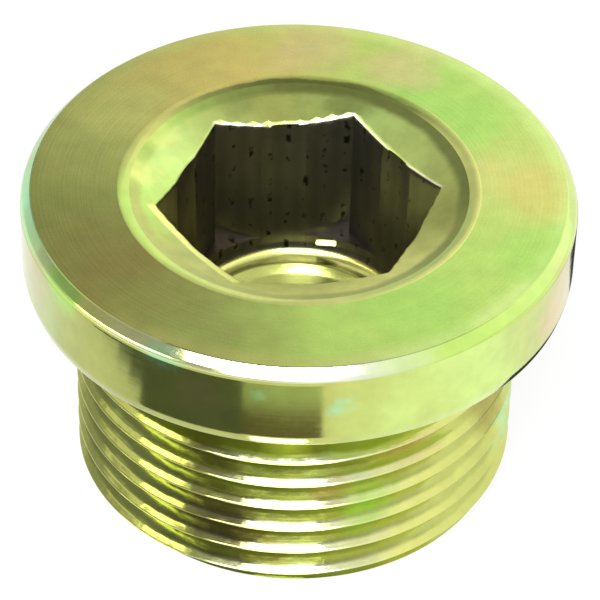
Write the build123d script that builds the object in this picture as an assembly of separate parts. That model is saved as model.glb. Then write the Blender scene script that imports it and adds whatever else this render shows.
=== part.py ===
from build123d import *
import math
import os

# Hexagon socket plug with a collar: one piece of turned, broached and threaded steel.
# Millimetres, +Z up, the collar uppermost. The origin is on the axis, in the plane of
# the collar's underside, which is the face that seals against the port.

# Collar
collar_diameter = 27.0
collar_height = 4.6
collar_top_chamfer = 0.5       # at 45 degrees, on the upper outer edge
collar_taper_height = 0.6      # the collar narrows over this height to its seat face
collar_taper_angle = 15.0      # degrees, between the taper and the axis

# Shank, with a metric fine thread
shank_length = 12.3            # from the seat face to the end face
thread_diameter = 22.0         # over the crests
thread_pitch = 1.5
end_chamfer = 1.0              # at 45 degrees, the lead into the thread
thread_seat_clearance = 0.05   # from the seat face to the turn that runs out under it

# Relief groove under the collar, where the threading tool runs out
relief_clearance = 0.25        # from the thread root in to the relief floor
relief_tool_room = 0.55        # added to the pitch to give the floor's width
relief_ramp_angle = 45.0       # degrees, between the way out and the axis

# Bores, each depth measured from the collar's top face
centre_drill_diameter = 9.6    # drilled first, so its point is left in the floor
drill_point_angle = 118.0      # degrees, across the point
pilot_bore_diameter = 12.2     # for the broach: it just takes the middle of each flat
pilot_bore_depth = 9.4
recess_chamfer = 0.4           # at 45 degrees, from the bore's floor into the drilled hole
countersink_diameter = 17.0    # at the collar's top face
countersink_angle = 135.0      # degrees, across the cone
countersink_rounding = 0.3     # on the mouth

# Broached hexagon
hexagon_across_flats = 12.0
hexagon_depth = 8.3            # from the collar's top face

# ISO metric thread form: the crest is an eighth of the pitch wide, and the root lies
# 17/24 of the sharp triangle's height below it
flank_angle = 30.0             # degrees, between a flank and the plane across the axis
crest_width = thread_pitch / 8
thread_depth = thread_pitch * math.cos(math.radians(flank_angle)) * 17 / 24

# Sizes that follow from those above
collar_radius = collar_diameter / 2
thread_radius = thread_diameter / 2
root_radius = thread_radius - thread_depth
relief_radius = root_radius - relief_clearance
relief_width = thread_pitch + relief_tool_room


def rise(run, degrees):
    """Return how far a line climbs over a run, at an angle to it."""
    return run * math.tan(math.radians(degrees))


def bore_outline():
    """Return the corners of the bores' half section, from the drill point to the mouth."""
    drill_radius = centre_drill_diameter / 2
    pilot_radius = pilot_bore_diameter / 2
    mouth_radius = countersink_diameter / 2
    floor = collar_height - pilot_bore_depth
    shoulder = floor - recess_chamfer
    point_height = rise(drill_radius, 90 - drill_point_angle / 2)
    cone_height = rise(mouth_radius - pilot_radius, 90 - countersink_angle / 2)
    return [
        (0, shoulder - point_height),
        (drill_radius, shoulder),
        (drill_radius + recess_chamfer, floor),
        (pilot_radius, floor),
        (pilot_radius, collar_height - cone_height),
        (mouth_radius, collar_height),
    ]


def collar_outline():
    """Return the corners of the collar's half section, from its top to its seat face."""
    seat_radius = collar_radius - rise(collar_taper_height, collar_taper_angle)
    return [
        (collar_radius - collar_top_chamfer, collar_height),
        (collar_radius, collar_height - collar_top_chamfer),
        (collar_radius, collar_taper_height),
        (seat_radius, 0),
    ]


def shank_outline():
    """Return the corners of the shank's half section, from the relief to the end face."""
    ramp_height = rise(thread_radius - relief_radius, 90 - relief_ramp_angle)
    return [
        (relief_radius, 0),
        (relief_radius, -relief_width),
        (thread_radius, -relief_width - ramp_height),
        (thread_radius, -shank_length + end_chamfer),
        (thread_radius - end_chamfer, -shank_length),
        (0, -shank_length),
    ]


def turned_blank():
    """Revolve the whole half section, with the mouth of the countersink rounded."""
    mouth = (countersink_diameter / 2, collar_height)
    with BuildPart() as blank:
        with BuildSketch(Plane.XZ) as section:
            with BuildLine():
                Polyline(*bore_outline(), *collar_outline(), *shank_outline(), close=True)
            make_face()
            fillet(section.vertices().sort_by_distance(mouth)[0], countersink_rounding)
        revolve(axis=Axis.Z)
    return blank.part


def broached_hexagon():
    """Make the prism that the broach cuts, with two of its corners on the X axis."""
    outline = RegularPolygon(hexagon_across_flats / 2, side_count=6, major_radius=False)
    return extrude(Plane.XY.offset(collar_height - hexagon_depth) * outline, hexagon_depth)


def thread_groove_section():
    """Draw the groove between two crests, carried on a little way out of the metal."""
    overshoot = crest_width / 2
    half_width = (thread_pitch - crest_width) / 2
    half_root = half_width - rise(thread_depth, flank_angle)
    half_mouth = half_width + rise(overshoot, flank_angle)
    with BuildSketch(Plane.XZ) as section:
        with BuildLine():
            Polyline(
                (root_radius, -half_root),
                (thread_radius + overshoot, -half_mouth),
                (thread_radius + overshoot, half_mouth),
                (root_radius, half_root),
                close=True,
            )
        make_face()
    return section.sketch


def thread_groove():
    """Make the right-hand helical groove, as single turns that join end to end.

    It runs out in the relief, close under the seat, and starts in the open below the end.
    """
    turn_path = Helix(pitch=thread_pitch, height=thread_pitch, radius=root_radius)
    turn = sweep(thread_groove_section(), path=turn_path, is_frenet=True)
    run_out = -thread_seat_clearance - thread_pitch / 2
    turns = math.ceil((shank_length + run_out) / thread_pitch) + 1
    return [Pos(0, 0, run_out - n * thread_pitch) * turn for n in range(1, turns + 1)]


def plug_body():
    """Make the plug: the turned blank, broached and then threaded."""
    return turned_blank() - broached_hexagon() - thread_groove()


os.makedirs("parts", exist_ok=True)
plug = plug_body()
plug.label = "plug_body"
export_step(plug, "parts/plug_body.step")
print(f"plug_body: {plug.volume:.1f} cubic millimetres, {len(plug.faces())} faces")
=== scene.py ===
# %% [markdown]
# # A hexagon socket plug, dressed from its solid
#
# The plug is one piece of steel: a round collar, a short shank with a fine thread, and
# a countersunk hexagon socket. It was turned, broached and threaded, and then plated
# with zinc and dipped for a yellow, faintly rainbow film. This lesson loads the solid
# as the frame, models the same piece again with the small roundings and tool marks
# that the solid leaves out, and gives each kind of surface its own finish.

# %% Load the frame
import math
import random

import bmesh
import bpy
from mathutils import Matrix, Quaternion, Vector


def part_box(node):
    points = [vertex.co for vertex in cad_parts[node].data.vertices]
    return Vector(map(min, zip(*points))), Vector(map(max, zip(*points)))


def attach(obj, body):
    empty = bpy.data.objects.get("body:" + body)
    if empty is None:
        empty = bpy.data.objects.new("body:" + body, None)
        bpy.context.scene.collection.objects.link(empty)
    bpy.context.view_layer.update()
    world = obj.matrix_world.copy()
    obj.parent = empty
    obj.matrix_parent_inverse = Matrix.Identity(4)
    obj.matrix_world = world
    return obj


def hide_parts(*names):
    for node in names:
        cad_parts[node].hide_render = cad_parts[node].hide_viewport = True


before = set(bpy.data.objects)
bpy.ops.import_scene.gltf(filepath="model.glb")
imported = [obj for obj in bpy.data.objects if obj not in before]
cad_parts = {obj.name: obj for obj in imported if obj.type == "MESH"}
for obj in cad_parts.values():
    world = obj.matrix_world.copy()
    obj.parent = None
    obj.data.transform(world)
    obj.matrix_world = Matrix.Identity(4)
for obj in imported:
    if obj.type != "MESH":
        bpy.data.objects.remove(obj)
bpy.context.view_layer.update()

# %% [markdown]
# ## Sizes
#
# A turned part is known by its diameters and lengths. The outer ones are read from the
# frame, so this piece can't drift from the solid, and the inner ones are named here.
# Heights are measured from the collar's seat face, which is the frame's zero.

# %% Sizes of the turned blank, in metres
MM = 0.001
plug_low, plug_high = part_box("plug_body")
collar_radius = plug_high.x
collar_top = plug_high.z
end_face = plug_low.z

collar_chamfer = 0.5 * MM
taper_height = 0.6 * MM
seat_radius = collar_radius - taper_height * math.tan(math.radians(15))
mouth_radius = 8.5 * MM
cone_slope = math.tan(math.radians(22.5))
pilot_radius = 6.1 * MM
pilot_floor = collar_top - 9.4 * MM
drill_radius = 4.8 * MM
recess_chamfer = 0.4 * MM
drill_slope = math.tan(math.radians(31))

thread_radius = 11.0 * MM
thread_pitch = 1.5 * MM
thread_depth = thread_pitch * math.cos(math.radians(30)) * 17 / 24
root_radius = thread_radius - thread_depth
relief_radius = root_radius - 0.25 * MM
relief_width = thread_pitch + 0.55 * MM
end_chamfer = 1.0 * MM

hexagon_flat = 6.0 * MM
hexagon_floor = collar_top - 8.3 * MM
print(f"collar {collar_radius * 2 / MM:.1f} mm, thread {thread_radius * 2 / MM:.1f} mm")

# %% [markdown]
# ## Helpers for modelling by operator
#
# Blender's operators act on whatever is selected, and the loaded solid is selected. So
# each step starts by selecting nothing, and then picks points, edges or faces by their
# place, as a modeller picks them by eye.


# %% Selecting, editing and cutting
def edit(piece, mode):
    """Enter edit mode on one piece alone, with nothing selected in it."""
    bpy.ops.object.select_all(action="DESELECT")
    piece.select_set(True)
    bpy.context.view_layer.objects.active = piece
    bpy.ops.object.mode_set(mode="EDIT")
    bpy.ops.mesh.select_mode(type=mode)
    bpy.ops.mesh.select_all(action="DESELECT")


def pick(piece, kind, test):
    """Select the vertices, edges or faces that pass a test, and say how many did."""
    mesh = bmesh.from_edit_mesh(piece.data)
    found = [element for element in getattr(mesh, kind) if test(element)]
    for element in found:
        element.select_set(True)
    bmesh.update_edit_mesh(piece.data)
    return len(found)


def finish_edit(piece, merge_gap=1e-8):
    """Close seams and poles, turn the faces outwards and leave edit mode."""
    bpy.ops.mesh.select_all(action="SELECT")
    bpy.ops.mesh.remove_doubles(threshold=merge_gap)
    bpy.ops.mesh.normals_make_consistent(inside=False)
    bpy.ops.object.mode_set(mode="OBJECT")
    return piece


def apply_modifier(piece, kind, **settings):
    """Add one modifier, set it and apply it."""
    bpy.ops.object.select_all(action="DESELECT")
    piece.select_set(True)
    bpy.context.view_layer.objects.active = piece
    modifier = piece.modifiers.new(kind.lower(), kind)
    for name, value in settings.items():
        setattr(modifier, name, value)
    bpy.ops.object.modifier_apply(modifier=modifier.name)


def cut(piece, tool):
    """Cut the tool's shape out of the piece, and throw the tool away."""
    apply_modifier(piece, "BOOLEAN", operation="DIFFERENCE", solver="EXACT", object=tool)
    bpy.data.objects.remove(tool)


def open_edges(piece):
    """Count the edges that don't lie between exactly two faces."""
    edit(piece, "EDGE")
    bpy.ops.mesh.select_non_manifold()
    count = piece.data.total_edge_sel
    bpy.ops.object.mode_set(mode="OBJECT")
    return count


# %% [markdown]
# ## The turned blank
#
# On a lathe, one tool path gives every diameter. The mesh is made the same way: one
# point is drawn round the half section by extrusion, its corners are rounded where the
# tool's nose and the plating round them, and the outline is spun once about the axis.
# A stack of cylinders would leave seams where the path has none.


# %% Draw a half section
def draw_outline(name, corners, closed=False):
    """Draw corners of (radius, height, rounding, steps) in the XZ plane, and round them."""
    first = Vector((corners[0][0], 0, corners[0][1]))
    bpy.ops.object.select_all(action="DESELECT")
    bpy.ops.mesh.primitive_plane_add(size=MM, location=first)
    outline = bpy.context.active_object
    outline.name = name
    edit(outline, "VERT")
    bpy.ops.mesh.select_all(action="SELECT")
    bpy.ops.mesh.merge(type="CENTER")
    here = first
    for radius, height, _, _ in corners[1:]:
        there = Vector((radius, 0, height))
        bpy.ops.mesh.extrude_vertices_move(TRANSFORM_OT_translate={"value": there - here})
        here = there
    if closed:
        bpy.ops.mesh.select_all(action="SELECT")
        bpy.ops.mesh.edge_face_add()
        bpy.ops.mesh.delete(type="ONLY_FACE")
    bpy.ops.object.mode_set(mode="OBJECT")
    bpy.ops.object.transform_apply(location=True, rotation=True, scale=True)
    for radius, height, rounding, steps in corners:
        if rounding:
            round_corner(outline, Vector((radius, 0, height)), rounding, steps)
    return outline


def round_corner(outline, corner, rounding, steps):
    """Round one corner of an outline; the rounding starts that far along both sides."""
    edit(outline, "VERT")
    pick(outline, "verts", lambda v: (v.co - corner).length < 1e-7)
    bpy.ops.mesh.bevel(offset=rounding, affect="VERTICES", segments=steps)
    bpy.ops.object.mode_set(mode="OBJECT")


# %% Spin the blank
cone_foot = collar_top - (mouth_radius - pilot_radius) * cone_slope
relief_ramp = thread_radius - relief_radius
fine, soft = 0.06 * MM, 0.14 * MM
floor_fillet = 0.68 * MM
blank_corners = [
    (0, pilot_floor - recess_chamfer - drill_radius * drill_slope, 0, 0),
    (drill_radius, pilot_floor - recess_chamfer, fine, 2),
    (drill_radius + recess_chamfer, pilot_floor, fine, 2),
    (pilot_radius, pilot_floor, floor_fillet, 6),
    (pilot_radius, cone_foot, soft, 3),
    (mouth_radius, collar_top, 0.3 * MM, 4),
    (collar_radius - collar_chamfer, collar_top, 0.03 * MM, 1),
    (collar_radius, collar_top - collar_chamfer, 0.24 * MM, 5),
    (collar_radius, taper_height, soft, 3),
    (seat_radius, 0, soft, 4),
    (relief_radius, 0, 0.3 * MM, 4),
    (relief_radius, -relief_width, 0.3 * MM, 4),
    (thread_radius, -relief_width - relief_ramp, fine, 2),
    (thread_radius, end_face + end_chamfer, fine, 2),
    (thread_radius - end_chamfer, end_face, fine, 2),
    (0, end_face, 0, 0),
]
spin_steps = 240
plug = draw_outline("plug_dressed", blank_corners)
edit(plug, "VERT")
bpy.ops.mesh.select_all(action="SELECT")
bpy.ops.mesh.spin(steps=spin_steps, angle=2 * math.pi, center=(0, 0, 0), axis=(0, 0, 1))
finish_edit(plug)
print("blank:", len(plug.data.polygons), "faces,", open_edges(plug), "open edges")

# %% [markdown]
# ## The thread
#
# A screw-cutting tool is a small point carried up a helix. Its section is drawn once,
# with a rounded nose, and the Screw modifier carries it up turn by turn. Cut out of
# the blank, it leaves the ridges between its turns. The section flares at the mouth, and
# the flare is rounded, so that each crest is a narrow round edge that catches the light.

# %% Cut the thread
crest_half = thread_pitch / 16
groove_half = thread_pitch / 2 - crest_half
flank_run = math.tan(math.radians(30))
nose_half = groove_half - thread_depth * flank_run
worn_depth = 0.28 * MM
worn_foot = groove_half - worn_depth * flank_run
clear_radius = thread_radius + 0.3 * MM
run_out = -0.05 * MM - thread_pitch / 2
thread_turns = math.ceil((run_out - end_face) / thread_pitch) + 1
groove_start = run_out - thread_turns * thread_pitch

# Half the groove's section, from its nose to its mouth, as (radius, distance from its
# middle, rounding, steps)
half_groove = [
    (root_radius, nose_half, 0.12 * MM, 3),
    (thread_radius - worn_depth, worn_foot, 0.08 * MM, 3),
    (thread_radius - 0.045 * MM, thread_pitch / 2 - 0.060 * MM, 0, 0),
    (thread_radius - 0.010 * MM, thread_pitch / 2 - 0.032 * MM, 0, 0),
    (thread_radius + 0.005 * MM, thread_pitch / 2 - 0.012 * MM, 0, 0),
    (clear_radius, thread_pitch / 2 - 0.010 * MM, 0, 0),
]
lower_half = [(r, groove_start - z, rounding, steps) for r, z, rounding, steps in half_groove]
upper_half = [(r, groove_start + z, rounding, steps) for r, z, rounding, steps in half_groove]
groove = draw_outline("groove_tool", lower_half + upper_half[::-1], closed=True)
apply_modifier(
    groove,
    "SCREW",
    axis="Z",
    angle=2 * math.pi,
    screw_offset=thread_pitch,
    iterations=thread_turns,
    steps=spin_steps,
    render_steps=spin_steps,
    use_merge_vertices=False,
)
edit(groove, "VERT")
bpy.ops.mesh.select_all(action="SELECT")
bpy.ops.mesh.fill_holes(sides=0)
finish_edit(groove)
print("groove tool:", len(groove.data.polygons), "faces,", open_edges(groove), "open edges")
cut(plug, groove)
print("threaded:", len(plug.data.polygons), "faces,", open_edges(plug), "open edges")

# %% [markdown]
# ## The hexagon socket
#
# A broach is pushed down the pilot bore and shaves six flats. Every tooth leaves its own
# upright hollow, so a flat looks like a row of shallow columns, and its mouth gets a
# small rolled edge, scalloped by the columns, which catches the light. The cutting tool
# is a ring of six corners, subdivided into column lines that are moved in and out, and
# then extruded upwards: straight to just under the cone, and from there outwards in
# short steps that round the mouth.

# %% The broach's ring
column_lines = 18
column_hollow = 0.014 * MM
column_wander = 0.006 * MM
corner_width = 0.8

# How wide each side's rolled edge is, and how far its scallops reach, as shares of the
# section below; anticlockwise from the side that faces 30 degrees
edge_widths = ((1.4, 0.2), (1.2, 0.8), (0.8, 0.1), (1.1, 0.1), (0.8, 0.1), (0.8, 0.2))
flat_length = 2 * hexagon_flat * math.tan(math.radians(30))
chance = random.Random(12)


def column_line(point):
    """Say which column line of its flat a point of the ring lies on; 0 is a corner."""
    turn = math.atan2(point.y, point.x) % math.radians(60) - math.radians(30)
    along = hexagon_flat * math.tan(turn)
    return round((along / flat_length + 0.5) * column_lines) % column_lines


bpy.ops.object.select_all(action="DESELECT")
bpy.ops.mesh.primitive_circle_add(
    vertices=6,
    radius=hexagon_flat / math.cos(math.radians(30)),
    location=(0, 0, hexagon_floor),
    rotation=(0, 0, math.radians(30)),
)
broach = bpy.context.active_object
broach.name = "broach_tool"
bpy.ops.object.transform_apply(location=True, rotation=True, scale=True)
edit(broach, "EDGE")
bpy.ops.mesh.select_all(action="SELECT")
bpy.ops.mesh.subdivide(number_cuts=column_lines - 1)
for point in bmesh.from_edit_mesh(broach.data).verts:
    line = column_line(point.co)
    if line:
        outward = Vector((point.co.x, point.co.y, 0)).normalized()
        hollow = column_hollow * (line % 2)
        point.co += outward * (hollow + chance.uniform(-column_wander, column_wander))
bmesh.update_edit_mesh(broach.data)
bpy.ops.mesh.select_all(action="SELECT")
print("column lines:", column_lines * 6)


# %% Cut the socket
def edge_share(point):
    """Say how wide a column line makes the rolled edge: wide in its hollow, or narrow."""
    line = column_line(point)
    flat = int(math.atan2(point.y, point.x) % (2 * math.pi) // math.radians(60))
    width, scallop = edge_widths[flat]
    if not line:
        return corner_width
    scallop *= 0.7 + 0.3 * math.cos(2.3 * line)
    return width + scallop if line % 2 else width - scallop


def raise_ring(spread_before, spread, lift):
    """Extrude the ring, and lay it that far out, at a lift above or below the cone."""
    bpy.ops.mesh.extrude_edges_move(TRANSFORM_OT_translate={"value": (0, 0, MM)})
    ring = bmesh.from_edit_mesh(broach.data)
    for point in ring.verts:
        if point.select:
            share = edge_share(point.co)
            growth = (hexagon_flat + spread * share) / (hexagon_flat + spread_before * share)
            point.co.x *= growth
            point.co.y *= growth
            below_mouth = (mouth_radius - math.hypot(point.co.x, point.co.y)) * cone_slope
            point.co.z = collar_top - below_mouth + lift * share
    bmesh.update_edit_mesh(broach.data)


# The rolled edge's section, as (how far out, height over the cone), in millimetres
rolled_edge = [
    (0, -0.260),
    (0.020, -0.140),
    (0.034, -0.090),
    (0.048, -0.060),
    (0.064, -0.038),
    (0.084, -0.022),
    (0.139, 0.0),
    (0.169, 0.012),
    (0.35, 0.5),
]
spread_before = 0
for spread, lift in rolled_edge:
    raise_ring(spread_before, spread * MM, lift * MM)
    spread_before = spread * MM
bpy.ops.mesh.select_all(action="SELECT")
bpy.ops.mesh.fill_holes(sides=0)
finish_edit(broach)
print("broach tool:", len(broach.data.polygons), "faces,", open_edges(broach), "open edges")
cut(plug, broach)
print("broached:", len(plug.data.polygons), "faces,", open_edges(plug), "open edges")

# %% [markdown]
# A broach also drags a burr over the ledge at its foot. It is a thin slip of metal that
# leans against the wall, and it is joined to the piece, so that both are one body.

# %% Raise a burr
burr_turn = math.radians(68)
burr_radius = 5.93 * MM
burr_height = -3.90 * MM
burr_lean = math.radians(44)
burr_twist = math.radians(-12)
burr_shape = (1.10, 0.36, 0.18)
bpy.ops.object.select_all(action="DESELECT")
bpy.ops.mesh.primitive_cube_add(
    size=MM,
    location=(burr_radius * math.cos(burr_turn), burr_radius * math.sin(burr_turn), burr_height),
    rotation=(burr_lean, 0, burr_twist),
    scale=burr_shape,
)
burr = bpy.context.active_object
burr.name = "burr"
bpy.ops.object.transform_apply(location=True, rotation=True, scale=True)
apply_modifier(burr, "BEVEL", width=0.06 * MM, segments=3, limit_method="NONE")
apply_modifier(plug, "BOOLEAN", operation="UNION", solver="EXACT", object=burr)
bpy.data.objects.remove(burr)
edit(plug, "VERT")
finish_edit(plug, merge_gap=2e-7)
print("with its burr:", len(plug.data.polygons), "faces,", open_edges(plug), "open edges")

# %% [markdown]
# ## Smooth shading
#
# The curved faces are meant to look round and the edges crisp, so faces are shaded
# smooth except where they meet at more than a slight angle. The cone's border with the
# rolled edge is marked sharp, because smooth shading across it would spread the
# scallops over the whole cone as pleats.

# %% Shade the piece
def on_bored_cone(face):
    """True on a face that lies on the countersink's cone, and not on a rounding of it."""
    off_slope = abs(face.normal.z - math.cos(math.atan(cone_slope)))
    return off_slope < 0.004 and face.calc_center_median().z > collar_top - 1.2 * MM


def bounds_the_cone(edge):
    """True on an edge with the cone on one side only, inside the countersink."""
    sides = sum(on_bored_cone(face) for face in edge.link_faces)
    middle = (edge.verts[0].co + edge.verts[1].co) / 2
    return sides == 1 and math.hypot(middle.x, middle.y) < mouth_radius - 0.5 * MM


edit(plug, "EDGE")
print("crisp edges:", pick(plug, "edges", bounds_the_cone))
bpy.ops.mesh.mark_sharp()
bpy.ops.object.mode_set(mode="OBJECT")
bpy.ops.object.shade_smooth_by_angle(angle=math.radians(20), keep_sharp_edges=True)
apply_modifier(plug, "WEIGHTED_NORMAL", keep_sharp=True, weight=60)
print("triangles:", sum(len(face.vertices) - 2 for face in plug.data.polygons))

# %% [markdown]
# ## Node helpers
#
# A material is a small graph. These helpers add a node with its settings and links in
# one call, so that each finish below reads as a recipe.


# %% Helpers for material graphs
def add(tree, kind, links=None, **settings):
    """Add a node, set its properties, and feed its sockets with values or other outputs."""
    made = tree.nodes.new(kind)
    for name, value in settings.items():
        setattr(made, name, value)
    for socket, value in (links or {}).items():
        if isinstance(value, bpy.types.NodeSocket):
            tree.links.new(value, made.inputs[socket])
        else:
            made.inputs[socket].default_value = value
    return made


def maths(tree, operation, first, second=0.0, third=0.0):
    """Return the result of a Math node."""
    links = {0: first, 1: second, 2: third}
    return add(tree, "ShaderNodeMath", links, operation=operation).outputs[0]


def ramp(tree, factor, stops):
    """Return the colour of a ramp, given as a list of (place, colour)."""
    made = add(tree, "ShaderNodeValToRGB", {"Fac": factor})
    band = made.color_ramp
    while len(band.elements) < len(stops):
        band.elements.new(0.5)
    for element, (place, colour) in zip(band.elements, stops):
        element.position = place
        element.color = (*colour, 1)
    return made.outputs["Color"]


def mix_colour(tree, factor, first, second, blend="MIX"):
    """Return a mix of two colours."""
    made = add(tree, "ShaderNodeMix", data_type="RGBA", blend_type=blend)
    for socket, value in zip((0, 6, 7), (factor, first, second)):
        if isinstance(value, bpy.types.NodeSocket):
            tree.links.new(value, made.inputs[socket])
        elif socket == 0:
            made.inputs[socket].default_value = value
        else:
            made.inputs[socket].default_value = (*value, 1)
    return made.outputs[2]


# %% [markdown]
# ## Where a point lies on the plug
#
# Turning, plating and wear all follow the axis, so each finish needs three numbers for
# every point: its angle round the axis, its radius and its height. Noise that is
# stretched round the axis makes turning marks and streaks. It is read on a ring, from
# the sine and cosine of the angle, so that it has no seam.

# %% Axis coordinates
OBJECT_TO_MM = 1000.0


def axis_places(tree):
    """Return the point in millimetres, its turn (0 to 1), radius, height and ring point."""
    metres = add(tree, "ShaderNodeTexCoord").outputs["Object"]
    scaled = {0: metres, 3: OBJECT_TO_MM}
    point = add(tree, "ShaderNodeVectorMath", scaled, operation="SCALE").outputs[0]
    split = add(tree, "ShaderNodeSeparateXYZ", {0: point}).outputs
    angle = maths(tree, "ARCTAN2", split[1], split[0])
    turn = maths(tree, "MULTIPLY_ADD", angle, 1 / (2 * math.pi), third=0.5)
    radius = maths(tree, "SQRT", maths(tree, "ADD", square(tree, split[0]), square(tree, split[1])))
    cosine = maths(tree, "COSINE", angle)
    sine = maths(tree, "SINE", angle)
    return {
        "point": point,
        "turn": turn,
        "radius": radius,
        "height": split[2],
        "cosine": cosine,
        "sine": sine,
    }


def square(tree, value):
    """Return a number times itself."""
    return maths(tree, "MULTIPLY", value, value)


def noise(tree, vector, scale, detail=3.0, roughness=0.55, offset=(0, 0, 0)):
    """Return smooth noise, from 0 to 1, of a vector moved by an offset."""
    moved = add(tree, "ShaderNodeVectorMath", {0: vector, 1: offset}, operation="ADD").outputs[0]
    links = {"Vector": moved, "Scale": scale, "Detail": detail, "Roughness": roughness}
    return add(tree, "ShaderNodeTexNoise", links).outputs[0]


def round_noise(tree, places, across, around, fine, offset=(0, 0, 0), detail=3.0):
    """Return noise stretched round the axis: slow around it, and fast across."""
    parts = {
        0: maths(tree, "MULTIPLY", places["cosine"], around),
        1: maths(tree, "MULTIPLY", places["sine"], around),
        2: maths(tree, "MULTIPLY", places[across], fine),
    }
    ring = add(tree, "ShaderNodeCombineXYZ", parts).outputs[0]
    return noise(tree, ring, 1.0, detail, offset=offset)


def between(tree, value, low, high):
    """Return 0 below low and 1 above high, with a smooth step between."""
    links = {0: value, 1: low, 2: high}
    made = add(tree, "ShaderNodeMapRange", links, interpolation_type="SMOOTHSTEP")
    return made.outputs[0]


# %% [markdown]
# ## The film
#
# Yellow zinc is a chromate film some hundred nanometres thick over bright zinc. Its
# thickness drifts, so its colour wanders between gold, lime and olive, with patches of
# mint and of pink where it is thinnest. On a metal this is all in the base colour. One
# recipe serves every surface; what changes is the drift, the tool marks and the gloss.

# %% Tints of the film, as a white surround shows them
GOLD = (0.74, 0.62, 0.17)
STRAW = (0.68, 0.70, 0.20)
LEMON = (0.95, 0.98, 0.30)
SPRING = (0.66, 0.86, 0.26)
LIME = (0.52, 0.74, 0.16)
LEAF = (0.42, 0.74, 0.14)
OLIVE = (0.52, 0.56, 0.15)
MOSS = (0.36, 0.40, 0.10)
DUSK = (0.26, 0.30, 0.08)
BRONZE = (0.34, 0.30, 0.08)
TAN = (0.56, 0.44, 0.20)
UMBER = (0.15, 0.12, 0.06)
MINT = (0.42, 0.78, 0.42)
BLUSH = (0.80, 0.58, 0.30)
SILVERY = (0.70, 0.72, 0.56)

# White for the painted highlights beside the hexagon, the socket wall's painted shade, and a torn
# pit in it
HIGHLIGHT_WHITE = (1.0, 1.0, 0.80)
SHADE = (0.15, 0.14, 0.12)
PIT = (0.018, 0.015, 0.012)
print("darkest tint of the film:", UMBER, "lightest:", LEMON)

# %% [markdown]
# ## How the film drifts round the plug
#
# The film's tint wanders round the plug, and the drifts also hold painted light and shade:
# the collar's face, its side and the thread are painted darker at the left and the
# front-left and lighter at the right, as the light falls there. Noise alone would put the
# colours anywhere. So each ring of the plug gets a short list of tints, and noise only
# bends it.
#
# A drift is a list of (turn, tint). Seen from above, turn 0 is the left, 0.25 the front,
# 0.5 the right and 0.75 the back.

# %% Drifts of the collar's faces
# Painted shade at the left and the front-left, and painted light at the right, over the film's tints
face_drift = [
    (0.00, MOSS),
    (0.08, BRONZE),
    (0.17, MOSS),
    (0.24, LIME),
    (0.42, LIME),
    (0.50, STRAW),
    (0.63, LEAF),
    (0.80, GOLD),
    (0.93, OLIVE),
]

# The face's outer ring: painted shade at the left and the front-left, painted light at the right
face_rim_drift = [
    (0.00, MOSS),
    (0.10, BRONZE),
    (0.20, OLIVE),
    (0.34, SPRING),
    (0.62, SPRING),
    (0.80, STRAW),
]

# %% Drifts of the countersink and its lip
cone_drift = [
    (0.00, LIME),
    (0.08, OLIVE),
    (0.24, STRAW),
    (0.36, LEMON),
    (0.46, OLIVE),
    (0.66, SPRING),
    (0.78, OLIVE),
    (0.90, SPRING),
]

# Painted shade: the cone's outer ring is dark from the right round to the back
cone_rim_shade_drift = [
    (0.00, OLIVE),
    (0.35, OLIVE),
    (0.46, DUSK),
    (0.77, DUSK),
    (0.88, LIME),
]

# Painted shade: the lip is darker at the back-right and the back
lip_drift = [
    (0.00, LIME),
    (0.24, STRAW),
    (0.38, SPRING),
    (0.52, LEMON),
    (0.62, MOSS),
    (0.80, DUSK),
    (0.90, STRAW),
]

lip_rim_drift = [
    (0.00, LIME),
    (0.19, OLIVE),
    (0.40, LEMON),
    (0.50, LEMON),
    (0.64, LIME),
    (0.82, GOLD),
    (0.93, OLIVE),
]

# %% Drifts of the collar's rim and side
# Painted highlight: the chamfer is near white at the front and mint at the left, under the
# softboxes' lines
rim_drift = [
    (0.00, MINT),
    (0.10, STRAW),
    (0.25, SILVERY),
    (0.34, LIME),
    (0.44, SPRING),
    (0.60, STRAW),
    (0.76, OLIVE),
    (0.88, MOSS),
]

# Painted shade at the front-left and painted light at the front-right, over the film's tints
side_drift = [
    (0.00, OLIVE),
    (0.14, MOSS),
    (0.24, OLIVE),
    (0.34, SPRING),
    (0.42, OLIVE),
    (0.60, GOLD),
    (0.78, LIME),
    (0.90, STRAW),
]

# %% Drifts of the thread: its valleys are painted darker than its crests, as shade
# Painted shade: the valleys are darker than the crests, darkest at the front-left
valley_shade_drift = [
    (0.00, MOSS),
    (0.14, DUSK),
    (0.24, MOSS),
    (0.33, OLIVE),
    (0.45, MOSS),
    (0.66, BRONZE),
    (0.82, MOSS),
]

# Painted highlight: the crests are lighter than the valleys, and near white at the front
crest_highlight_drift = [
    (0.00, OLIVE),
    (0.16, OLIVE),
    (0.23, SILVERY),
    (0.31, STRAW),
    (0.40, OLIVE),
    (0.66, GOLD),
    (0.82, LIME),
]

print("places on the thread's crests:", len(crest_highlight_drift))

# %% [markdown]
# ## Soft spots
#
# Where a drop dried or a finger touched it, the film is off by a shade. Each such spot is
# a ball of colour in space, given by its centre in millimetres, its size, its tint and how
# far it covers, so it crosses from one surface to the next without a seam. In the
# countersink and on the thread, some spots are painted highlights and painted shade.

# %% Spots on the collar and in the countersink
# Painted highlights: the lemon spots at the left; painted shade: the dark spots at the back and the
# right
cone_glint_and_shade_spots = [
    ((-7.5, 2.2, 4.2), 1.3, LEMON, 0.50),
    ((-6.4, 4.6, 4.2), 1.1, LEMON, 0.35),
    ((3.6, 7.0, 4.2), 1.7, DUSK, 0.60),
    ((-2.2, 7.3, 4.3), 1.5, DUSK, 0.50),
    ((7.4, -2.4, 4.2), 1.6, MOSS, 0.40),
]

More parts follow.
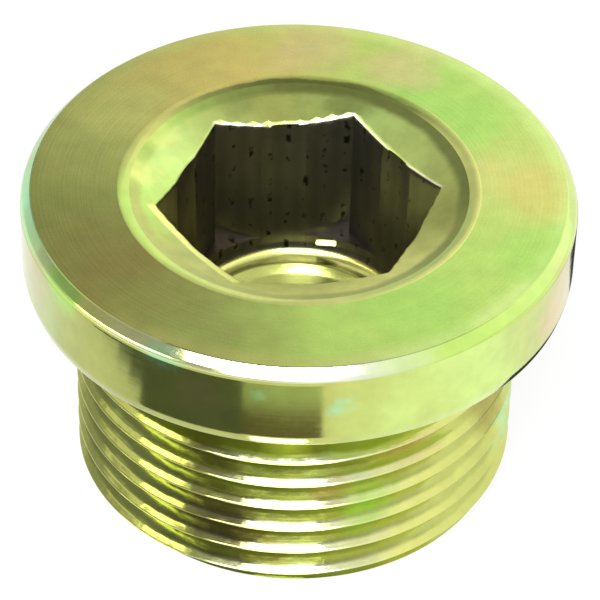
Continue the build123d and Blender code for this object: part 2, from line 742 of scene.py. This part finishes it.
face_spots = [
    ((8.6, 4.1, 4.6), 3.4, LEAF, 0.85),
    ((6.4, 8.6, 4.6), 2.6, BLUSH, 0.50),
    ((1.8, 10.6, 4.6), 3.0, BLUSH, 0.45),
    ((11.2, -1.6, 4.6), 2.8, GOLD, 0.50),
    ((10.8, -6.2, 4.6), 3.0, LEAF, 0.60),
    ((4.2, -9.4, 4.6), 3.4, LEAF, 0.60),
    ((-8.2, 6.6, 4.6), 3.0, STRAW, 0.50),
]

side_spots = [
    ((0.0, -13.5, 2.3), 1.0, MINT, 0.75),
    ((-7.7, -11.0, 4.3), 1.2, MINT, 0.70),
    ((-3.4, -13.0, 3.3), 0.8, MINT, 0.50),
    ((-12.8, -4.4, 1.8), 2.6, MINT, 0.20),
    ((-13.0, -3.5, 2.8), 2.0, TAN, 0.45),
    ((-6.2, -12.0, 2.2), 1.8, TAN, 0.35),
    ((-8.8, -10.2, 2.6), 1.4, DUSK, 0.35),
    ((-4.4, -12.8, 1.4), 1.2, DUSK, 0.35),
    ((-11.6, -6.2, 4.5), 1.5, LEAF, 0.70),
    ((11.6, -7.0, 2.2), 2.6, BLUSH, 0.60),
    ((3.4, -13.0, 1.4), 1.6, SPRING, 0.50),
]

# %% Spots on the end face and on the thread
end_spots = [
    ((3.5, 4.5, -12.3), 5.0, LEAF, 0.55),
    ((-4.5, -2.5, -12.3), 5.0, BLUSH, 0.45),
    ((4.5, -6.0, -12.3), 3.5, GOLD, 0.45),
    ((-6.0, 5.5, -12.3), 3.5, LIME, 0.40),
]

# Painted shade: the umber and bronze spots; the others are the film's tints
thread_tint_and_shade_spots = [
    ((-5.0, -9.8, -8.0), 3.0, UMBER, 0.75),
    ((-5.4, -9.5, -4.0), 2.2, UMBER, 0.60),
    ((9.1, -6.1, -4.6), 2.6, BRONZE, 0.75),
    ((4.6, -10.0, -3.6), 2.0, TAN, 0.45),
    ((2.4, -10.8, -7.0), 2.2, LEAF, 0.50),
    ((-2.8, -10.5, -9.6), 2.0, BRONZE, 0.50),
    ((0.6, -10.9, -5.6), 1.3, TAN, 0.45),
    ((10.4, -3.6, -8.0), 2.6, MINT, 0.50),
]

print("soft spots:", sum(map(len, (cone_glint_and_shade_spots, face_spots, side_spots, end_spots, thread_tint_and_shade_spots))))

# %% [markdown]
# ## The film's recipe
#
# A finish is a metal whose colour is the film's and whose roughness and relief come from
# the tool that cut the surface. A thin clear coat stands for the film's own gloss.


# %% Mix the film's colour
def ragged(tree, places, value, reach):
    """Return a distance in millimetres that soft noise carries up to that far both ways."""
    cloud = noise(tree, places["point"], 0.35, 4.0, 0.6, (6, 1, 9))
    return maths(tree, "ADD", value, maths(tree, "MULTIPLY_ADD", cloud, 4 * reach, third=-2 * reach))


def closed(drift):
    """Return a drift that ends in the colour it starts with."""
    return drift + [(1.0, drift[0][1])]


def film_colour(tree, places, drift, band=None, spots=(), cloudy=0.3):
    """Return the film's colour: a drift round the axis, a second one farther out, and spots."""
    wander = noise(tree, places["point"], 0.16, 2.0)
    bend = maths(tree, "MULTIPLY_ADD", wander, 0.12, third=-0.06)
    turn = maths(tree, "FRACT", maths(tree, "ADD", places["turn"], bend))
    colour = ramp(tree, turn, closed(drift))
    if band:
        outer_drift, low, high = band
        outer_share = between(tree, ragged(tree, places, places["radius"], 0.15), low, high)
        colour = mix_colour(tree, outer_share, colour, ramp(tree, turn, closed(outer_drift)))
    for centre, size, tint, share in spots:
        links = {0: places["point"], 1: centre}
        apart = add(tree, "ShaderNodeVectorMath", links, operation="DISTANCE").outputs["Value"]
        cover = between(tree, ragged(tree, places, apart, 0.8), size, size * 0.3)
        colour = mix_colour(tree, maths(tree, "MULTIPLY", cover, share), colour, tint)
    cloud = noise(tree, places["point"], 0.9, 4.0)
    tone = maths(tree, "MULTIPLY_ADD", cloud, cloudy, third=1 - cloudy / 2)
    grey = add(tree, "ShaderNodeCombineColor", {0: tone, 1: tone, 2: tone}).outputs[0]
    return mix_colour(tree, 1.0, colour, grey, blend="MULTIPLY")


# %% Make a plated finish
coat_roughness = 0.12
mark_depth = 0.02 * MM


def finish(name, drift, across, gloss=0.24, mark=0.3, mark_fine=9.0, coat=0.2, dents=0.0, **film):
    """Make a plated finish, with tool marks across a direction, and return its parts."""
    material = bpy.data.materials.new(name)
    material.use_nodes = True
    tree = material.node_tree
    shader = tree.nodes["Principled BSDF"]
    places = axis_places(tree)
    colour = film_colour(tree, places, drift, **film)
    tree.links.new(colour, shader.inputs["Base Color"])
    shader.inputs["Metallic"].default_value = 1.0
    shader.inputs["Coat Weight"].default_value = coat
    shader.inputs["Coat Roughness"].default_value = coat_roughness
    marks = round_noise(tree, places, across, 1.0, mark_fine, (1, 8, 3), 4.0)
    grain = noise(tree, places["point"], 5.0, 4.0)
    rough = maths(tree, "MULTIPLY_ADD", marks, 0.10, third=gloss - 0.05)
    rough = maths(tree, "MULTIPLY_ADD", grain, 0.10, third=rough)
    rough = maths(tree, "SUBTRACT", rough, 0.05)
    tree.links.new(rough, shader.inputs["Roughness"])
    relief = maths(tree, "MULTIPLY_ADD", grain, 0.4, third=marks)
    links = {"Strength": mark, "Distance": mark_depth, "Height": relief}
    if dents:
        dent = noise(tree, places["point"], 1.1, 1.5, 0.5, (4, 4, 4))
        uneven = {"Strength": 1.0, "Distance": dents * MM, "Height": dent}
        links["Normal"] = add(tree, "ShaderNodeBump", uneven).outputs[0]
    bump = add(tree, "ShaderNodeBump", links).outputs[0]
    tree.links.new(bump, shader.inputs["Normal"])
    parts = {"material": material, "tree": tree, "shader": shader}
    return {**parts, "places": places, "colour": colour}


# %% [markdown]
# ## One finish for each kind of surface
#
# The faces are turned across, so their marks are rings. The collar's side is turned
# along, the thread is cut, the countersink is bored, and the hexagon is broached, which
# leaves it rougher, with torn ticks in each column; its wall is painted dark, as painted
# shade deep in the socket. The relief under the collar is painted dark too, as shade. The
# floor of the socket is left from the drill, and the film pools there, thick and olive.
# The end face is turned too, and its film is one tint with broad soft spots.

# %% Finishes
# A band is a second drift, and the radii in millimetres between which it takes over
face_band = (face_rim_drift, 11.9, 12.8)
cone_band = (cone_rim_shade_drift, 7.5, 7.9)
lip_band = (lip_rim_drift, 8.44, 8.58)
crest_band = (crest_highlight_drift, 10.58, 10.78)
end_colour = [(0.0, OLIVE)]
pooled = [(0.0, OLIVE)]
# Painted highlight: the fillet round the socket's floor is painted lemon
fillet_highlight_band = ([(0.0, LEMON)], 5.30, 5.50)
# Painted shade under the collar: the relief groove and the collar's underside are dark
relief_shade_drift = [
    (0.00, DUSK),
    (0.24, MOSS),
    (0.34, SPRING),
    (0.44, SPRING),
    (0.56, MOSS),
]
# Painted shade: the socket's wall is painted dark, darkest at the left
wall_shade_drift = [(0.0, UMBER), (0.3, SHADE), (0.75, SHADE)]
faced = finish("faced_film", face_drift, "radius", 0.27, 0.16, band=face_band, spots=face_spots)
rim = finish("rim_film", rim_drift, "height", 0.13, 0.10, dents=0.008, spots=side_spots)
bored = {"band": cone_band, "spots": cone_glint_and_shade_spots, "cloudy": 0.5}
cone = finish("countersink_film", cone_drift, "radius", 0.40, 0.30, **bored)
lip = finish("lip_film", lip_drift, "radius", 0.32, 0.10, dents=0.012, band=lip_band)
side = finish("collar_film", side_drift, "height", 0.13, 0.05, spots=side_spots)
threaded = {"band": crest_band, "spots": thread_tint_and_shade_spots, "dents": 0.019}
thread = finish("thread_film", valley_shade_drift, "radius", 0.12, 0.12, **threaded)
# Painted shade under the collar
relief = finish("relief_shade_film", relief_shade_drift, "height", 0.36, 0.20)
end_film = finish("end_film", end_colour, "radius", 0.27, 0.16, spots=end_spots, cloudy=0.5)
floor_film = finish("floor_film", pooled, "radius", 0.24, 0.20, dents=0.008, band=fillet_highlight_band)
wall = finish("broached_shade_film", wall_shade_drift, "height", 0.42, 0.20, coat=0.0)
print("finishes:", [m.name for m in bpy.data.materials if m.name.endswith("_film")])

# %% [markdown]
# ## The broach's ticks, and painted shade and highlights at the hexagon
#
# The broach tears short dark ticks into the columns of the flats, and the columns get a
# faint painted shade, as their hollows would. Three strips of the countersink, each beside
# one side of the hexagon, get painted highlights. All are laid over the finished colour,
# so the recipe above stays plain.


# %% Ticks on the flats
tick_columns = 42


def add_ticks(made):
    """Lay dark torn ticks along the broach's columns, and paint shade on the columns in turn so that
    they stand out.
    """
    tree, places = made["tree"], made["places"]
    across = maths(tree, "MULTIPLY", places["turn"], 2 * math.pi * tick_columns)
    columns = maths(tree, "SINE", across)
    tear = between(tree, noise(tree, places["point"], 1.5, 3.0, 0.6, (7, 7, 2)), 0.54, 0.66)
    tick = maths(tree, "MULTIPLY", between(tree, columns, 0.35, 0.95), tear)
    # Painted shade: the columns are darkened in turn, as their hollows would be
    tone = maths(tree, "MULTIPLY_ADD", columns, 0.07, third=0.93)
    grey = add(tree, "ShaderNodeCombineColor", {0: tone, 1: tone, 2: tone}).outputs[0]
    column_shaded = mix_colour(tree, 1.0, made["colour"], grey, blend="MULTIPLY")
    torn = mix_colour(tree, tick, column_shaded, PIT)
    tree.links.new(torn, made["shader"].inputs["Base Color"])


add_ticks(wall)
print("tick columns:", tick_columns)


# %% Painted highlight strips in the countersink
def add_painted_highlight(made, facing, inner, outer, tint):
    """Paint a highlight strip beside the side of the hexagon that faces that many degrees.

    It is whole up to the inner distance from the axis, and gone at the outer one."""
    tree, places = made["tree"], made["places"]
    across = (math.cos(math.radians(facing)), math.sin(math.radians(facing)), 0)
    lengthwise = (-across[1], across[0], 0)
    distances = []
    for axis in (across, lengthwise):
        links = {0: places["point"], 1: axis}
        dot = add(tree, "ShaderNodeVectorMath", links, operation="DOT_PRODUCT").outputs["Value"]
        distances.append(dot)
    outward, aside = distances
    strip = between(tree, ragged(tree, places, outward, 0.06), outer, inner)
    ahead = between(tree, outward, 5.6, 5.9)
    ends = between(tree, maths(tree, "ABSOLUTE", aside), 3.7, 3.3)
    share = maths(tree, "MULTIPLY", maths(tree, "MULTIPLY", strip, ahead), ends)
    colour = mix_colour(tree, share, made["colour"], tint)
    tree.links.new(colour, made["shader"].inputs["Base Color"])
    made["colour"] = colour


# Painted highlights: a lemon strip by the side facing the front-left, near-white ones by the sides
# facing the back and the back-right
highlight_strips = [(210, 6.46, 6.64, LEMON), (90, 6.06, 6.16, HIGHLIGHT_WHITE), (30, 6.06, 6.16, HIGHLIGHT_WHITE)]
for facing, inner, outer, tint in highlight_strips:
    add_painted_highlight(cone, facing, inner, outer, tint)
print("highlighted strips:", len(highlight_strips))

# %% [markdown]
# ## Which face gets which finish
#
# The plug is one mesh, so its finishes are material slots. A face says what it is by its
# radius, its height and the way it faces, as it would on a drawing. Each zone below is
# one such test.


# %% Zones of the socket
def centre_of(face):
    """Return a face's centre as its radius and height."""
    centre = face.calc_center_median()
    return math.hypot(centre.x, centre.y), centre.z


def on_wall(face):
    """True on the broached flats, the bore between them and the ledges under them."""
    radius, height = centre_of(face)
    upright = abs(face.normal.z) < 0.3 or height < hexagon_floor + 0.1 * MM
    return radius < mouth_radius - 0.5 * MM and upright and height > pilot_floor + 0.1 * MM


def on_floor(face):
    """True on the bore's floor, its fillet, the drill's recess and the burr."""
    radius, height = centre_of(face)
    facing_up = face.normal.z > 0.5 or height < pilot_floor
    return radius < pilot_radius and height < hexagon_floor + 0.1 * MM and facing_up


def on_ledge(face):
    """True on the small ledges that the broach leaves in the hexagon's corners."""
    radius, height = centre_of(face)
    in_corner = pilot_radius - 0.05 * MM < radius < mouth_radius - MM
    return in_corner and abs(height - hexagon_floor) < 0.05 * MM


def on_lip(face):
    """True on the rounding of the countersink's mouth."""
    radius, height = centre_of(face)
    return abs(radius - mouth_radius) < 0.28 * MM and height > collar_top - 0.13 * MM


def on_cone(face):
    """True on the countersink and the rolled edge of the hexagon's mouth."""
    radius, height = centre_of(face)
    return radius < mouth_radius + 0.2 * MM and face.normal.z > 0.3 and height > hexagon_floor


# %% Zones of the collar and the thread
def on_relief(face):
    """True on the relief groove and the collar's underside."""
    radius, height = centre_of(face)
    in_groove = radius < root_radius - 0.1 * MM and -relief_width - 0.3 * MM < height < 0
    underside = face.normal.z < -0.9 and height > -0.3 * MM
    return in_groove and radius > relief_radius - 0.1 * MM or underside


def on_top(face):
    """True on the collar's upper face."""
    radius, height = centre_of(face)
    return radius > mouth_radius and height > collar_top - 0.03 * MM and face.normal.z > 0.95


def on_rim(face):
    """True on the chamfer round the collar's upper edge."""
    radius, height = centre_of(face)
    return radius > mouth_radius + MM and height > collar_top - collar_chamfer - 0.05 * MM


def on_side(face):
    """True on the collar's side and its taper."""
    radius, height = centre_of(face)
    return radius > thread_radius + 0.5 * MM and height > 0.01 * MM


def on_end(face):
    """True on the flat face at the thread's end."""
    return face.normal.z < -0.95 and centre_of(face)[1] < end_face + 0.01 * MM


def on_thread(face):
    """True on the thread, the relief and the end chamfer."""
    radius, height = centre_of(face)
    return height < 0 and radius > relief_radius - 0.1 * MM and height > end_face + 0.01 * MM


# %% Give each zone its finish
# The first finish covers the whole piece, and each later zone wins over those before it
zones = [
    (faced, None),
    (thread, on_thread),
    (relief, on_relief),
    (side, on_side),
    (rim, on_rim),
    (faced, on_top),
    (cone, on_cone),
    (lip, on_lip),
    (wall, on_wall),
    (floor_film, on_floor),
    (wall, on_ledge),
    (end_film, on_end),
]
plug.data.materials.clear()
for slot_number, (made, zone) in enumerate(zones):
    plug.data.materials.append(made["material"])
    if zone:
        edit(plug, "FACE")
        count = pick(plug, "faces", zone)
        plug.active_material_index = slot_number
        bpy.ops.object.material_slot_assign()
        bpy.ops.object.mode_set(mode="OBJECT")
        print(zone.__name__, count, "faces")

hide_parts("plug_body")
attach(plug, "root")

# %% [markdown]
# ## The camera
#
# It stands about 16 cm away, a little to the left of the front and 41 degrees up, and
# leans a little, so that the plug's right side sits lower.

# %% Place the camera
view_azimuth = math.radians(-8)
view_elevation = math.radians(41.36)
view_roll = math.radians(1.58)
view_distance = 0.161
view_lens = 196.3
sensor_width = 36
to_right = Vector((math.cos(view_azimuth), math.sin(view_azimuth), 0))
to_back = Vector((-math.sin(view_azimuth), math.cos(view_azimuth), 0))
away = Vector((0, 0, math.sin(view_elevation))) - to_back * math.cos(view_elevation)
level = (-away).to_track_quat("-Z", "Y")
tilt = level @ Quaternion((0, 0, 1), view_roll)
aim_right, aim_up = 0.118 * MM, -2.09 * MM

lens = bpy.data.cameras.new("camera")
camera = bpy.data.objects.new("camera", lens)
bpy.context.scene.collection.objects.link(camera)
bpy.context.scene.camera = camera
camera.rotation_mode = "QUATERNION"
camera.rotation_quaternion = tilt
camera.location = away * view_distance + tilt @ Vector((aim_right, aim_up, 0))
lens.lens = view_lens
lens.sensor_width = sensor_width
lens.clip_start = 0.01
lens.clip_end = 20
print("camera at", [round(c, 4) for c in camera.location])

# %% [markdown]
# ## The studio
#
# Shiny metal has almost no look of its own: it shows what stands round it. So the studio
# is built as for a watch or a coin: a white floor, cards on it, a room and softboxes.
#
# The floor glows white to the camera and to metal, so the background stays white
# without more light on the plug. A share of it takes light, and so it keeps the shadow.


# %% Floor
def stage_material(name, colour, strength, lit_share):
    """Make a paper that glows to the camera and to metal, with a share that takes light."""
    material = bpy.data.materials.new(name)
    material.use_nodes = True
    tree = material.node_tree
    tree.nodes.clear()
    out = add(tree, "ShaderNodeOutputMaterial")
    glow = add(tree, "ShaderNodeEmission", {"Color": (*colour, 1), "Strength": strength})
    lit = add(tree, "ShaderNodeBsdfDiffuse", {"Color": (*colour, 1)})
    path = add(tree, "ShaderNodeLightPath").outputs
    seen = maths(tree, "MAXIMUM", path["Is Camera Ray"], path["Is Glossy Ray"])
    seen = maths(tree, "MAXIMUM", seen, path["Is Transmission Ray"])
    share = maths(tree, "MULTIPLY", seen, 1 - lit_share)
    mixed = add(tree, "ShaderNodeMixShader", {0: share, 1: lit.outputs[0], 2: glow.outputs[0]})
    tree.links.new(mixed.outputs[0], out.inputs["Surface"])
    return material


FLOOR_SIZE = 6.0
bpy.ops.object.select_all(action="DESELECT")
bpy.ops.mesh.primitive_plane_add(size=FLOOR_SIZE, location=(0, 0, end_face))
studio_floor = bpy.context.active_object
studio_floor.name = "studio_floor"
studio_floor.data.materials.append(stage_material("white_paper", (0.9, 0.9, 0.9), 1.15, 0.18))
print("floor at", round(end_face / MM, 2), "mm")

# %% [markdown]
# ## Cards on the table
#
# To an eye above the plug, the collar's side and the thread mirror a ring of the floor.
# Dark cards there draw the dark shapes on the metal, and one bright card draws the line
# on the collar's taper. Only reflections see them. Seen from above they are sectors of a
# ring, and the card at the left is cut in steps, which slant its reflection's edge.


# %% Cards
def card(name, near, far, start, sweep, colour, glow):
    """Lay a card round the plug, between two radii; angles are from the camera's side."""
    height = end_face + 0.2 * MM
    piece = draw_outline(name, [(near, height, 0, 0), (far, height, 0, 0)])
    camera_side = view_azimuth - math.pi / 2
    piece.rotation_euler.z = camera_side + math.radians(start)
    bpy.ops.object.transform_apply(location=False, rotation=True, scale=False)
    edit(piece, "VERT")
    bpy.ops.mesh.select_all(action="SELECT")
    bpy.ops.mesh.spin(steps=16, angle=math.radians(-sweep), center=(0, 0, 0), axis=(0, 0, 1))
    finish_edit(piece)
    piece.data.materials.append(stage_material(name + "_paper", colour, glow, 0.0))
    piece.visible_camera = False
    piece.visible_diffuse = False
    piece.visible_transmission = False
    piece.visible_shadow = False


card("card_front", 22 * MM, 29.0 * MM, -16, 25, (1.0, 0.8, 0.7), 0.21)
card("card_front_high", 29.0 * MM, 34 * MM, -16, 25, (0.85, 1.0, 0.8), 0.75)
left_steps = [(20, 27.3, -50), (27.3, 28.4, -55), (28.4, 29.5, -60)]
left_steps += [(29.5, 30.6, -66), (30.6, 42, -71)]
left_paper = ((0.85, 0.93, 0.85), 0.19)
for near, far, start in left_steps:
    card(f"card_left_{near:.0f}", near * MM, far * MM, start, -16 - start, *left_paper)
card("card_right", 19.5 * MM, 30 * MM, 122, 22, (0.8, 0.9, 0.9), 0.04)
card("card_right_near", 14 * MM, 19.5 * MM, 80, 64, (0.9, 0.9, 0.8), 0.05)
card("card_bright", 15.3 * MM, 19 * MM, -13, 17, (1.0, 1.0, 1.0), 10)

# %% [markdown]
# ## The room
#
# Metal mirrors the room, which is bright at the right, and dimmer at the left and
# overhead. The camera sees it as plain white, and everything else gets an even light.

# %% World
dim_level, dim_overhead_drop, dim_low_lift = 0.42, 0.28, 0.35
bright_level, bright_overhead_drop = 1.2, 0.45
even_light = 0.60
world = bpy.data.worlds.new("studio")
bpy.context.scene.world = world
world.use_nodes = True
tree = world.node_tree
tree.nodes.clear()
direction = add(tree, "ShaderNodeTexCoord").outputs["Generated"]


def along(axis):
    """Return how far the direction points along an axis, from -1 to 1."""
    links = {0: direction, 1: axis}
    return add(tree, "ShaderNodeVectorMath", links, operation="DOT_PRODUCT").outputs["Value"]


upward = along((0, 0, 1))
rightward = along(to_right)
overhead = between(tree, upward, 0.72, 0.90)
low_down = between(tree, upward, 0.35, 0.08)
dim = maths(tree, "MULTIPLY_ADD", overhead, -dim_overhead_drop, third=dim_level)
dim = maths(tree, "MULTIPLY_ADD", low_down, dim_low_lift, third=dim)
bright = maths(tree, "MULTIPLY_ADD", overhead, -bright_overhead_drop, third=bright_level)
bright_from = maths(tree, "MULTIPLY_ADD", overhead, 0.06, third=-0.12)
bright_at = maths(tree, "MULTIPLY_ADD", overhead, 0.30, third=0.08)
right_share = between(tree, rightward, bright_from, bright_at)
room = maths(tree, "MULTIPLY_ADD", right_share, maths(tree, "SUBTRACT", bright, dim), third=dim)
path = add(tree, "ShaderNodeLightPath").outputs
unseen = maths(tree, "SUBTRACT", 1.0, path["Is Camera Ray"])
strength = maths(tree, "MULTIPLY", unseen, even_light)
strength = maths(tree, "MULTIPLY", strength, maths(tree, "SUBTRACT", 1.0, path["Is Glossy Ray"]))
strength = maths(tree, "ADD", strength, path["Is Camera Ray"])
glossy_part = maths(tree, "MULTIPLY", path["Is Glossy Ray"], room)
strength = maths(tree, "ADD", strength, glossy_part)
links = {"Color": (1, 1, 1, 1), "Strength": strength}
background = add(tree, "ShaderNodeBackground", links)
add(tree, "ShaderNodeOutputWorld", {"Surface": background.outputs[0]})
print("room: dim", dim_level, "bright", bright_level, "even light", even_light)

# %% [markdown]
# ## Softboxes
#
# A softbox is a lamp with a known outline, and metal mirrors that outline. Two in front
# draw the bright lines on the chamfer and on the thread's crests. Narrow ones at the left
# are turned to lie along the chamfer's reflection, and a low one there lights the
# rounding under it. The others are broad and weak, and only lift the shadows.


# %% Hang the softboxes
def softbox(name, azimuth, elevation, distance, width, height, radiance, colour=(1, 1, 1), turn=0):
    """Hang an area lamp that faces the plug; azimuth is from the camera, to its right."""
    lamp_data = bpy.data.lights.new(name, "AREA")
    lamp_data.shape = "RECTANGLE"
    lamp_data.size = width
    lamp_data.size_y = height
    lamp_data.energy = radiance * math.pi * width * height
    lamp_data.color = colour
    lamp = bpy.data.objects.new(name, lamp_data)
    bpy.context.scene.collection.objects.link(lamp)
    flat = to_right * math.sin(math.radians(azimuth)) - to_back * math.cos(math.radians(azimuth))
    place = flat * math.cos(math.radians(elevation))
    place.z = math.sin(math.radians(elevation))
    lamp.rotation_mode = "QUATERNION"
    facing = (-place).to_track_quat("-Z", "Y")
    lamp.rotation_quaternion = facing @ Quaternion((0, 0, 1), math.radians(turn))
    lamp.location = place * distance
    lamp.visible_camera = False
    print(name, "radiance", radiance)


softbox("softbox_overhead", -7, 70, 0.32, 0.105, 0.115, 1.6)
softbox("softbox_chamfer", -11, 43.5, 0.40, 0.37, 0.085, 11)
softbox("softbox_thread", -8, 53, 0.40, 0.17, 0.070, 14)
softbox("softbox_left", -75, 42, 0.35, 0.115, 0.020, 5, (1, 0.98, 0.6), 29)
softbox("softbox_far_left", -98, 32, 0.35, 0.125, 0.030, 0.6, (1, 0.98, 0.7), 29)
softbox("softbox_low_left", -66, 15, 0.35, 0.260, 0.065, 5.5, (1, 0.98, 0.65), 15)
softbox("softbox_low_front", -6, 24, 0.40, 0.28, 0.20, 3)
softbox("softbox_back", -127, 54, 0.40, 0.22, 0.22, 0.4)

# %% [markdown]
# ## Last lines
#
# The view transform is the plain one, so that a colour shows as it is written.

# %% Finish
bpy.context.scene.view_settings.view_transform = "Standard"
